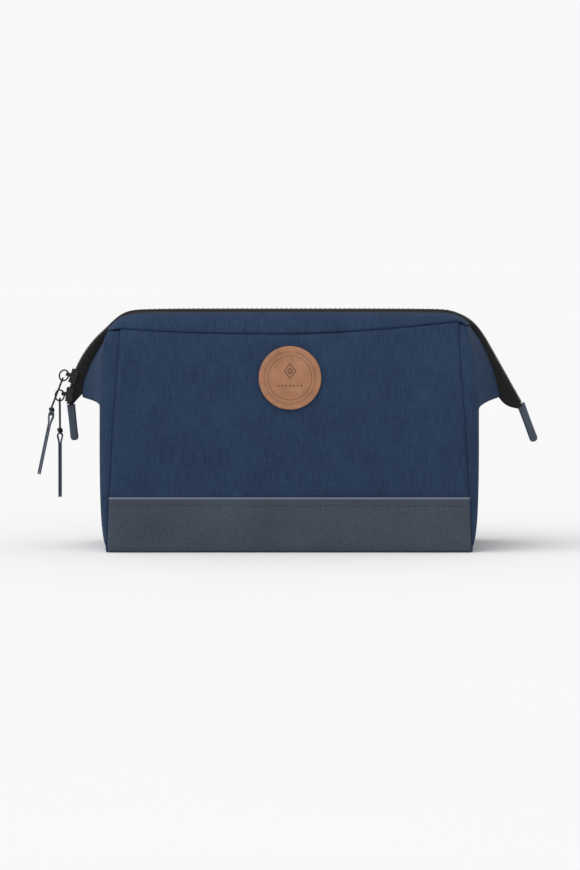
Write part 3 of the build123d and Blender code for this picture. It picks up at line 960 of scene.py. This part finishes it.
# %% Nylon, metal and leather
def plain(name, dark, light, roughness, metallic=0.0, scale=60.0, grain=900.0, relief=0.03, coat=0.0):
    """A smooth finish between two colours, with fine grain in its roughness and bump."""
    finish = Finish(name)
    place = finish.add("TexCoord", output=3)
    cloud, fine = finish.noise(place, scale, 4.0), finish.noise(place, grain, 2.0)
    colour = finish.mix(cloud, dark, light)
    bump = finish.bump(fine, relief * MM, 0.6)
    rough = fine * 0.16 + (roughness - 0.08)
    return finish.done(Base_Color=colour, Roughness=rough, Metallic=metallic, Normal=bump, Coat_Weight=coat)


NYLON = plain("nylon_coil", rgb(20, 20, 21), rgb(40, 40, 41), 0.42)
BLACK_METAL = plain("black_metal", rgb(26, 26, 27), rgb(46, 46, 47), 0.38, 0.55)
STEEL = plain("dark_steel", rgb(44, 46, 50), rgb(66, 68, 72), 0.4, 0.8)
BOARD = plain("stiff_board", rgb(48, 48, 50), rgb(64, 64, 66), 0.6, relief=0.06)
FOAM = plain("foam_sheet", rgb(186, 186, 182), rgb(205, 205, 200), 0.9, grain=1400.0, relief=0.2)
STRAP = plain("coated_strap", rgb(52, 62, 78), rgb(74, 86, 104), 0.5, grain=1500.0, relief=0.08)
THREAD_NAVY = plain("navy_thread", rgb(30, 42, 66), rgb(52, 66, 94), 0.7, grain=3000.0, relief=0.1)


def braided():
    """Round cord of braided yarn: two sets of slanting ridges round its length."""
    finish = Finish("braided_cord")
    x, y, z = finish.axes(finish.add("TexCoord", output=3))
    one = ((x + y) * 3600.0 + z * 3400.0).sine()
    two = ((x + y) * 3600.0 - z * 3400.0).sine()
    ridges = one.largest(two) * 0.5 + 0.5
    colour = finish.mix(ridges, rgb(16, 18, 22), rgb(40, 43, 50))
    return finish.done(Base_Color=colour, Roughness=0.8, Normal=finish.bump(ridges, 0.15 * MM, 0.8))


def leather():
    """Vegetable-tanned leather: cloudy colour, fine pores, and a darker, smoother stamp."""
    finish = Finish("tan_leather")
    place = finish.add("TexCoord", output=3)
    stamp = finish.add("Attribute", {"attribute_name": "stamp"}, output=2)
    cloud, blotch = finish.noise(place, 95.0, 5.0, 0.62), finish.noise(place, 420.0, 3.0)
    pores = finish.add("TexVoronoi", Vector=place, Scale=1500.0)
    share = cloud * 1.1 + blotch * 0.35 - 0.3
    colour = finish.mix(share, rgb(142, 94, 66), rgb(188, 137, 104))
    colour = finish.mix(stamp * 0.8, colour, rgb(88, 60, 48))
    bump = finish.bump(pores.power(0.5) + blotch * 0.4, 0.07 * MM, 0.6)
    rough = 0.62 - stamp * 0.12 + blotch * 0.1
    return finish.done(Base_Color=colour, Roughness=rough, Normal=bump, Specular_IOR_Level=0.35)


CORD = braided()
LEATHER = leather()
for word in FACES.values():
    paint(bpy.data.objects[f"{word}_coil"], NYLON)
    paint(bpy.data.objects[f"{word}_foam_sheet"], FOAM)
KEPT = {"base_board": BOARD, "front_hoop": STEEL, "rear_hoop": STEEL}
KEPT |= {f"hinge_rivet_{word}": STEEL for word in ("left", "right")}
KEPT |= {f"zip_stop_{word}": BLACK_METAL for word in ("left", "right")}
for node, material in KEPT.items():
    piece = frame["nodes"][node]
    piece.data.materials.clear()
    piece.data.materials.append(material)
print("hard finishes on", len(KEPT), "frame nodes")

# %% [markdown]
# ## Sliders and rings
# The sliders come from the frame, whose shape is right but whose edges are razor sharp. A copy is
# merged and its edges are rounded, as cast zinc is. Each ring is an oval of wire.


# %% Sliders and rings
def softened(node, name, width):
    """A merged copy of a frame node with rounded edges."""
    mesh = frame["nodes"][node].data.copy()
    copy = link(mesh, name)
    weld = copy.modifiers.new("weld", "WELD")
    weld.merge_threshold = 1e-6
    bevel = copy.modifiers.new("edges", "BEVEL")
    bevel.width = width
    bevel.segments = 3
    bevel.angle_limit = np.radians(35)
    return copy


OVAL = (3.1 * MM, 3.75 * MM)  # half width and half height of the ring's middle line
for name, tilt in (("lower", 4.0), ("upper", 21.0)):
    slider = softened(f"slider_{name}", f"{name}_slider_body", 0.35 * MM)
    paint(slider, BLACK_METAL)
    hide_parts(f"slider_{name}")
    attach(slider, f"slider_{name}")
    low, high = (np.array(corner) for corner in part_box(f"pull_ring_{name}"))
    turn = np.linspace(0, 2 * np.pi, 48, endpoint=False)
    flat = np.stack([OVAL[0] * np.sin(turn), 0 * turn, OVAL[1] * np.cos(turn)], -1)
    lean = np.radians(tilt)
    spin = np.array([[np.cos(lean), 0, np.sin(lean)], [0, 1, 0], [-np.sin(lean), 0, np.cos(lean)]])
    points, faces = ring_tube((0.0, 1.0, 0.0), flat @ spin.T + (low + high) / 2, 0.55 * MM, 12)
    ring = build(f"{name}_ring", points, faces)
    paint(ring, BLACK_METAL)
    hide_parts(f"pull_ring_{name}")
    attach(ring, f"ring_{name}")
print("two sliders and two rings")

# %% [markdown]
# ## Pull cords
# A length of cord is doubled through each ring and knotted under it. The cord's route is a short list
# of points: up from the knot, over the wire of the ring and down again, drawn as one smooth spline.

# %% Cords
CORD_D = 1.4 * MM
ROUTES = {
    "lower": [(-159.27, 5.35, 82.05), (-159.27, 1.77, 97.46), (-159.27, 1.78, 102.72)]
    + [(-159.27, -2.42, 102.72), (-159.27, 0.09, 97.46), (-159.27, 3.85, 82.05)],
    "upper": [(-164.67, -7.25, 97.15), (-158.94, -0.67, 112.08), (-157.14, 2.63, 116.75)]
    + [(-157.14, -1.57, 116.75), (-158.94, -2.35, 112.08), (-164.67, -8.75, 97.15)],
}


def cord_curve(name, points):
    """One smooth open spline through the cord's route, as round as the cord."""
    data = bpy.data.curves.new(name, "CURVE")
    data.dimensions = "3D"
    data.resolution_u = 16
    data.bevel_depth = CORD_D / 2
    data.bevel_resolution = 4
    data.use_fill_caps = True
    spline = data.splines.new("NURBS")
    spline.points.add(len(points) - 1)
    for point, place in zip(spline.points, points):
        point.co = (*(v * MM for v in place), 1.0)
    spline.order_u = 3
    spline.use_endpoint_u = True
    data.materials.append(CORD)
    return link(data, name)


def knot_piece(name, top, height, reach):
    """An overhand knot: a trefoil tube (sin t + 2 sin 2t, cos t - 2 cos 2t, -sin 3t), pressed tight."""
    t = np.linspace(0, 2 * np.pi, 90, endpoint=False)
    line = np.stack([np.sin(t) + 2 * np.sin(2 * t), np.cos(t) - 2 * np.cos(2 * t), -np.sin(3 * t) * 1.6], -1)
    line = line * np.array([reach / 3, reach / 3, (height - CORD_D) / 3.2])
    centre = np.array(top) - np.array([0, 0, height / 2])
    points, faces = ring_tube((0.0, 0.0, 1.0), line + centre, CORD_D * 0.5, 10)
    return build(name, points, faces)


for name, route in ROUTES.items():
    low, high = (np.array(corner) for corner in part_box(f"cord_knot_{name}"))
    top = np.array([(low[0] + high[0]) / 2, (low[1] + high[1]) / 2, high[2]])
    knot = knot_piece(f"{name}_knot", top, high[2] - low[2], 1.45 * MM)
    paint(knot, CORD)
    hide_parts(f"cord_knot_{name}")
    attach(knot, f"pull_{name}")
    cord = cord_curve(f"{name}_cord", route)
    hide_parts(f"pull_cord_{name}")
    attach(cord, f"pull_{name}")

# %% [markdown]
# ## Pull straps
# Each pull ends in a strap of two plies, folded round the knot's cord into a teardrop eye and stitched
# together below it. One ply's middle line goes down one side, round the eye and down the other. Its
# width narrows at the foot as a half circle does: width = W * sqrt(1 - (1 - d / r)^2).

# %% Straps
STRAP_L, STRAP_W, PLY = 44.5 * MM, 8.0 * MM, 1.15 * MM
EYE = 6.0 * MM


def strap_grid(length):
    """Closed section carried along the folded ply: (length x section) points in the strap's own frame."""
    gap = PLY / 2 + 0.06 * MM
    half = [(gap, -length), (gap, -length * 0.7), (gap, -length * 0.4), (gap, -EYE - 3 * MM)]
    half += [(gap, -EYE - 0.6 * MM), (gap * 1.9, -EYE * 0.66), (1.75 * MM, -EYE * 0.36)]
    half += [(1.5 * MM, -0.9 * MM), (0.5 * MM, -0.1 * MM)]
    path = curve(half + [(-x, z) for x, z in half[::-1]], 160)
    tangent = unit(np.gradient(path, axis=0))
    side = np.stack([-tangent[:, 1], tangent[:, 0]], -1)
    foot = path[:, 1] + length
    round_end = 3.2 * MM
    share = np.clip(1 - foot / round_end, 0, 0.995)
    width = STRAP_W * (0.62 + 0.38 * np.sqrt(1 - share**2))
    turn = np.linspace(0, 2 * np.pi, 20, endpoint=False)
    across_ply = np.sign(np.cos(turn)) * np.abs(np.cos(turn)) ** 0.35
    along_width = np.sign(np.sin(turn)) * np.abs(np.sin(turn)) ** 0.25
    x = path[:, 0, None] + side[:, 0, None] * across_ply * PLY / 2
    z = path[:, 1, None] + side[:, 1, None] * across_ply * PLY / 2
    y = width[:, None] / 2 * along_width
    return np.stack(np.broadcast_arrays(x, y, z), -1)


def tilt(points, lean_deg, pitch_deg, place):
    """Turn points about X by the pitch and then about Y by the lean, and move them into place."""
    a, b = np.radians(lean_deg), np.radians(-pitch_deg)
    about_x = np.array([[1, 0, 0], [0, np.cos(b), -np.sin(b)], [0, np.sin(b), np.cos(b)]])
    about_y = np.array([[np.cos(a), 0, np.sin(a)], [0, 1, 0], [-np.sin(a), 0, np.cos(a)]])
    return points @ (about_y @ about_x).T + place


def closed_strip(name, grid):
    """A tube of sections with both ends filled."""
    rows, columns = grid.shape[:2]
    points = np.vstack([grid.reshape(-1, 3), grid[0].mean(0), grid[-1].mean(0)])
    first = np.arange(columns)
    last = first + (rows - 1) * columns
    centre = np.full(columns, rows * columns)
    foot = np.stack([first, np.roll(first, -1), centre], -1)
    head = np.stack([np.roll(last, -1), last, centre + 1], -1)
    around = quads(rows, columns, wrap_columns=True)
    return build(name, points, around.tolist() + foot.tolist() + head.tolist())


LEAN = {"lower": (0.0, 0.0), "upper": (11.5, 22.0)}
for name, (lean_deg, pitch_deg) in LEAN.items():
    knot_low, knot_high = (np.array(corner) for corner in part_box(f"cord_knot_{name}"))
    place = np.array([(knot_low[0] + knot_high[0]) / 2, (knot_low[1] + knot_high[1]) / 2, 0])
    place[2] = knot_low[2] - (0.1 + 1.6 * np.sin(np.radians(pitch_deg))) * MM
    grid = strap_grid(STRAP_L)
    hung = tilt(grid.reshape(-1, 3), lean_deg, pitch_deg, place).reshape(grid.shape)
    strap = closed_strip(f"{name}_strap", hung)
    paint(strap, STRAP)
    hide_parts(f"pull_strap_{name}")
    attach(strap, f"pull_{name}")

# %% [markdown]
# ## End tabs
# A folded tab of coated cloth is sewn under each end of the zip, to hold while the zip is pulled. It is
# folded lengthways, so its section is a flat V, and its foot is rounded.

# %% Tabs
TAB_W, TAB_T = 5.8 * MM, 2.6 * MM
TABS = {LEFT: (23.5 * MM, -6.0, -1.6), RIGHT: (26.5 * MM, -20.5, 1.0)}  # length, lean, shift


def tab_grid(length, sag):
    """A folded section, thin at its edges and ridged along its middle, carried down the tab."""
    t = np.linspace(0, 1, 70)[:, None]
    turn = np.linspace(0, 2 * np.pi, 32, endpoint=False)[None, :]
    foot = np.clip(1 - (1 - t) * length / (2.9 * MM), 0, 0.998)
    width = TAB_W / 2 * (1 - 0.06 * np.sin(np.pi * t)) * (0.25 + 0.75 * np.sqrt(1 - foot**2))
    x = width * np.sign(np.cos(turn)) * np.abs(np.cos(turn)) ** 0.8
    ridge = TAB_T / 2 * np.abs(np.sin(turn)) ** 0.75 * np.sign(np.sin(turn))
    fold = 0.5 * MM * np.exp(-((x / (0.7 * MM)) ** 2)) * np.sign(np.sin(turn)) * (1 - foot)
    y = ridge * (0.75 + 0.25 * np.sqrt(1 - foot**2)) - fold * 0.6 + sag * np.sin(np.pi * t)
    return np.stack(np.broadcast_arrays(x, y, -length * t), -1)


for side, (length, lean_deg, shift) in TABS.items():
    word = "left" if side == LEFT else "right"
    low, high = (np.array(corner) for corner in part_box(f"tab_{word}"))
    lean = np.radians(lean_deg)
    middle_x = low[0] + TAB_W / 2 * np.cos(lean) + shift * MM
    place = np.array([middle_x, 0, high[2] + 1.2 * MM])
    grid = tab_grid(length + 1.6 * MM, 0.5 * MM)
    hung = tilt(grid.reshape(-1, 3), lean_deg, 0, place).reshape(grid.shape)
    tab = closed_strip(f"{word}_tab", hung)
    paint(tab, STRAP)
    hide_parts(f"tab_{word}")
    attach(tab, "bag")
print("two tabs, from", [round(v[0], 3) for v in TABS.values()], "m long")

# %% [markdown]
# ## Leather badge
# A round of leather is sewn flat on the panel. It's a polar grid laid on the panel's profile, pressed
# down wherever the stamp is: a ring, a border of short strokes and a plain lozenge over a row of dots.
# The same stamp is kept as an attribute, which darkens the leather there.

# %% Badge
BADGE_R = 21.5 * MM
BADGE_AT = (0.5 * MM, 120.2 * MM)
BADGE_T = 1.7 * MM
STAMP_DEPTH = 0.28 * MM


def soft_step(distance, half, blur=0.13 * MM):
    """1 inside a line of some half width, fading to 0 outside."""
    return np.clip((half - np.abs(distance)) / blur + 0.5, 0, 1)


def stamp_of(r, turn):
    """The pressed pattern at polar places, from 0 to 1."""
    a, b = r * np.cos(turn), r * np.sin(turn)
    mark = soft_step(r - 15.0 * MM, 0.16 * MM)
    strokes = 84
    step = (turn * strokes / (2 * np.pi)) % 1 - 0.5
    stroke = soft_step(step * 2 * np.pi * r / strokes, 0.2 * MM) * soft_step(r - 17.6 * MM, 0.75 * MM)
    mark = np.maximum(mark, stroke * 0.8)
    lozenge = np.abs(a) / 1.0 + np.abs(b - 4.6 * MM) / 1.25
    mark = np.maximum(mark, soft_step(lozenge - 3.9 * MM, 0.42 * MM))
    mark = np.maximum(mark, soft_step(lozenge - 1.5 * MM, 0.5 * MM))
    column = np.round(a / (2.6 * MM))
    dots = np.hypot(a - np.clip(column, -3, 3) * 2.6 * MM, b + 5.4 * MM)
    return np.maximum(mark, np.clip((0.62 * MM - dots) / (0.15 * MM) + 0.5, 0, 1))


def badge_grid(rings=130, spokes=560):
    """The badge's face and its rounded rim, as rings of points from the middle outwards."""
    r = np.linspace(0.02 * MM, BADGE_R, rings)[:, None]
    turn = np.linspace(0, 2 * np.pi, spokes, endpoint=False)[None, :]
    stamp = stamp_of(r, turn)
    rim = np.clip((r - BADGE_R + 0.9 * MM) / (0.9 * MM), 0, 1)
    lift = BADGE_T - 0.55 * MM * (1 - np.sqrt(1 - np.minimum(rim, 0.999) ** 2)) - STAMP_DEPTH * stamp
    lift = lift + 0.06 * MM * np.sin(r / MM * 0.9) * np.cos(turn * 2)
    x, z = BADGE_AT[0] + r * np.cos(turn), BADGE_AT[1] + r * np.sin(turn)
    face_points = np.stack(np.broadcast_arrays(x, front_y(z) - CROWN_LIMIT * 0.3 - lift, z), -1)
    wall = face_points[-1:].copy() + np.array([0, BADGE_T + 0.6 * MM, 0])
    return np.concatenate([face_points, wall]), np.concatenate([stamp, np.zeros_like(stamp[:1])])


badge_points, stamp = badge_grid()
faces = quads(*badge_points.shape[:2], wrap_columns=True)
badge = build("leather_badge", badge_points.reshape(-1, 3), faces)
stamped = badge.data.attributes.new("stamp", "FLOAT", "POINT")
stamped.data.foreach_set("value", stamp.astype(np.float32).ravel())
paint(badge, LEATHER)
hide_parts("badge")
fold_with(badge)
print("badge is", round(2 * BADGE_R / MM, 1), "mm across with", len(faces), "faces")

# %% [markdown]
# ## Stitches
# A stitch is a short capsule of thread that dips into the cloth at both ends. One shape is repeated
# along a line on the surface, turned to follow it.


# %% Stitch helper
def capsule(length, radius, rings=6, sides=6):
    """A stitch: radius * sqrt(1 - t^4) along its length, sinking at its ends. Axes: out, across, along."""
    t = np.linspace(-1, 1, rings)[:, None]
    turn = np.linspace(0, 2 * np.pi, sides, endpoint=False)[None, :]
    wide = radius * np.sqrt(np.maximum(1 - t**4, 0.02))
    out = wide * np.cos(turn) - 0.7 * radius * t**2
    points = np.stack(np.broadcast_arrays(out, wide * np.sin(turn), t * length / 2), -1)
    return points.reshape(-1, 3), quads(rings, sides, wrap_columns=True)


def stitches(name, line, outward, length, gap, radius):
    """Stitches along a line (n x 3) on a surface whose outward direction is given at each point."""
    far = np.concatenate([[0], np.cumsum(np.linalg.norm(np.diff(line, axis=0), axis=1))])
    stops = np.arange(gap + length / 2, far[-1] - length / 2, length + gap)
    place = np.stack([np.interp(stops, far, line[:, k]) for k in range(3)], -1)
    ahead = np.stack([np.interp(stops + length / 3, far, line[:, k]) for k in range(3)], -1)
    along = unit(ahead - place)
    out = np.stack([np.interp(stops, far, outward[:, k]) for k in range(3)], -1)
    out = unit(out - along * (out * along).sum(-1, keepdims=True))
    side = np.cross(along, out)
    shape, faces = capsule(length, radius)
    piece = scatter(name, shape, faces, place + out * radius * 0.35, np.stack([out, side, along], 1))
    paint(piece, THREAD_NAVY)
    return piece


def line_at(grid, normal, column_value, wanted):
    """The line where a value, one for each grid point and rising along each row, has a wanted value."""
    index = np.argmax(column_value >= wanted, axis=1)
    rows = np.arange(grid.shape[0])
    return grid[rows, index], normal[rows, index]


print("stitch helper ready")

# %% Rows of stitches
TRIM_STITCH = (2.7 * MM, 0.7 * MM, 0.2 * MM)  # length, gap and radius
EAR_STITCH = (2.2 * MM, 1.3 * MM, 0.26 * MM)
for face, word in FACES.items():
    grid = trims[face]
    row = np.argmin(np.abs(trim_side[:, 1] - (TRIM_TOP - STITCH_DROP)) + (trim_side[:, 0] > -55 * MM))
    out = facing(grid, (0, face, 0))
    thread = stitches(f"{word}_trim_stitches", grid[row, 6:-6], out[row, 6:-6], *TRIM_STITCH)
    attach(thread, "bag")
    grid = bands[face]
    out = facing(grid, (0, face, 0.4))
    away = lengths(grid, 0)
    row = np.argmin(np.abs(away[:, grid.shape[1] // 2] - 21.5 * MM))
    thread = stitches(f"{word}_hoop_stitches", grid[row, 20:-20], out[row, 20:-20], *TRIM_STITCH)
    fold_with(thread)
for (side, face), grid in sides.items():
    word = "left" if side == LEFT else "right"
    out = facing(grid, (side, 0, 0))
    from_zip = lengths(grid[:, ::-1], 1)
    high = grid[:, -1, 2] > 118 * MM
    line, normal = line_at(grid[high, ::-1], out[high, ::-1], from_zip[high], 4.5 * MM)
    thread = stitches(f"{word}_ear_stitches_{FACES[face]}", line[:-12], normal[:-12], *EAR_STITCH)
    fold_with(thread)
print("eight rows of stitches")

# %% [markdown]
# ## Floor and light
# The bag stands on a pale floor that runs out to the horizon, so there's no wall to see. One large soft
# lamp hangs over the front left, and the rest of the light comes from all round, as in a light tent.

# %% Stage and light
FLOOR = 60.0


def pale():
    finish = Finish("pale_floor")
    cloud = finish.noise(finish.add("TexCoord", output=3), 2.0, 2.0)
    colour = finish.mix(cloud, (0.9, 0.9, 0.9, 1), (0.92, 0.92, 0.92, 1))
    return finish.done(Base_Color=colour, Roughness=0.9, Specular_IOR_Level=0.1)


corner = FLOOR * np.array([(-1, -1, 0), (1, -1, 0), (1, 1, 0), (-1, 1, 0.0)])
floor = build("floor", corner, np.array([[0, 1, 2, 3]]))
floor.data.materials.append(pale())


def soft_sun(name, direction, strength, softness):
    """A far lamp that shines from a direction, as wide in the sky as its softness in degrees."""
    light = bpy.data.lights.new(name, "SUN")
    light.energy, light.angle = strength, np.radians(softness)
    lamp = bpy.data.objects.new(name, light)
    x, y, z = unit(np.array(direction, float))
    lamp.rotation_euler = (np.arctan2(np.hypot(x, y), z), 0, np.arctan2(x, -y))
    bpy.context.scene.collection.objects.link(lamp)


soft_sun("key", (-0.75, -0.5, 1.6), 1.55, 60.0)
world = bpy.data.worlds.new("tent")
bpy.context.scene.world = world
world.use_nodes = True
world.node_tree.nodes["Background"].inputs["Color"].default_value = (1.0, 1.0, 1.0, 1)
world.node_tree.nodes["Background"].inputs["Strength"].default_value = 0.62
bpy.context.scene.view_settings.view_transform = "Standard"
print("stage and lights ready")
